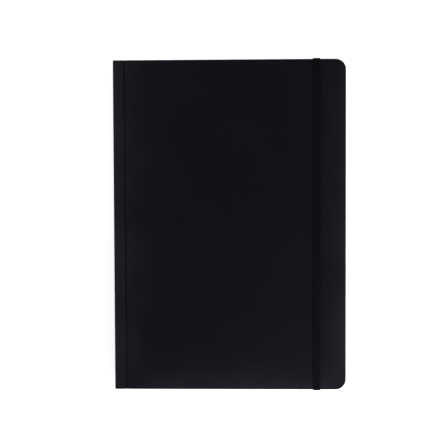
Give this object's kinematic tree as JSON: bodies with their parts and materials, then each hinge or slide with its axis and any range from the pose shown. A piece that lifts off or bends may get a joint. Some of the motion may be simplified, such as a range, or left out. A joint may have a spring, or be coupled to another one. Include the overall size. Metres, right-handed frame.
{
  "type": "sketchbook",
  "caption": "Case-bound sketchbook with black cloth boards, pressed joint grooves, sewn sections of plain leaves and an elastic strap that holds it shut.",
  "frame": {"origin": "centre of the closed book's footprint, on the outer face of the back cover", "axes": "+X from the spine to the fore edge, +Y from the tail to the head, +Z from the back cover to the front cover"},
  "size_m": [0.213, 0.3046, 0.0207],
  "materials": {
    "cover_cloth": "satin",
    "board": "matte",
    "endpaper": "matte",
    "paper": "matte",
    "lining": "matte",
    "mull": "matte",
    "thread": "satin",
    "headband": "satin",
    "strap": "matte"
  },
  "bodies": {
    "back_cover": {"back_board": "board", "back_hinge_strip": "board", "back_cloth": "cover_cloth", "back_pastedown": "endpaper", "back_flyleaf": "endpaper", "section_06": "paper", "section_07": "paper", "section_08": "paper", "section_09": "paper", "section_10": "paper", "strap_head_anchor": "strap", "strap_tail_anchor": "strap", "strap_head_wrap": "strap", "strap_tail_wrap": "strap"},
    "spine": {"spine_board": "board", "spine_cloth": "cover_cloth", "spine_lining": "lining", "mull": "mull", "sewing_thread": "thread", "headband_head": "headband", "headband_tail": "headband"},
    "front_cover": {"front_board": "board", "front_hinge_strip": "board", "front_cloth": "cover_cloth", "front_pastedown": "endpaper"},
    "front_flyleaf": {"front_flyleaf": "endpaper"},
    "section_01": {"section_01": "paper"},
    "section_02": {"section_02": "paper"},
    "section_03": {"section_03": "paper"},
    "section_04": {"section_04": "paper"},
    "section_05": {"section_05": "paper"},
    "strap": {"strap_front": "strap"}
  },
  "joints": [
    {"name": "cover_open", "type": "hinge", "parent": "spine", "child": "front_cover", "pos_m": [-0.106, 0, 0.0195], "axis": [0, -1, 0], "range_deg": [0, 90]},
    {"name": "spine_turn", "type": "hinge", "parent": "back_cover", "child": "spine", "pos_m": [-0.106, 0, 0.0005], "axis": [0, -1, 0], "range_deg": [0, 90]},
    {"name": "flyleaf_turn", "type": "hinge", "parent": "spine", "child": "front_flyleaf", "pos_m": [-0.10585, 0, 0.01935], "axis": [0, -1, 0], "range_deg": [0, 90]},
    {"name": "section_01_turn", "type": "hinge", "parent": "spine", "child": "section_01", "pos_m": [-0.1057, 0, 0.0192], "axis": [0, -1, 0], "range_deg": [0, 90]},
    {"name": "section_02_turn", "type": "hinge", "parent": "spine", "child": "section_02", "pos_m": [-0.1054, 0, 0.0189], "axis": [0, -1, 0], "range_deg": [0, 90]},
    {"name": "section_03_turn", "type": "hinge", "parent": "spine", "child": "section_03", "pos_m": [-0.1051, 0, 0.0186], "axis": [0, -1, 0], "range_deg": [0, 90]},
    {"name": "section_04_turn", "type": "hinge", "parent": "spine", "child": "section_04", "pos_m": [-0.1048, 0, 0.0183], "axis": [0, -1, 0], "range_deg": [0, 90]},
    {"name": "section_05_turn", "type": "hinge", "parent": "spine", "child": "section_05", "pos_m": [-0.1045, 0, 0.018], "axis": [0, -1, 0], "range_deg": [0, 90]},
    {"name": "strap_release", "type": "hinge", "parent": "back_cover", "child": "strap", "pos_m": [0.07975, 0, 0.01], "axis": [0, 1, 0], "range_deg": [0, 180], "deforming": ["strap_front", "strap_head_wrap", "strap_tail_wrap"]}
  ],
  "couplings": [
    {"joint": "spine_turn", "follows": "cover_open", "ratio": 1},
    {"joint": "flyleaf_turn", "follows": "cover_open", "ratio": 1},
    {"joint": "section_01_turn", "follows": "cover_open", "ratio": 1},
    {"joint": "section_02_turn", "follows": "cover_open", "ratio": 1},
    {"joint": "section_03_turn", "follows": "cover_open", "ratio": 1},
    {"joint": "section_04_turn", "follows": "cover_open", "ratio": 1},
    {"joint": "section_05_turn", "follows": "cover_open", "ratio": 1},
    {"joint": "strap_release", "follows": "cover_open", "ratio": 2}
  ]
}
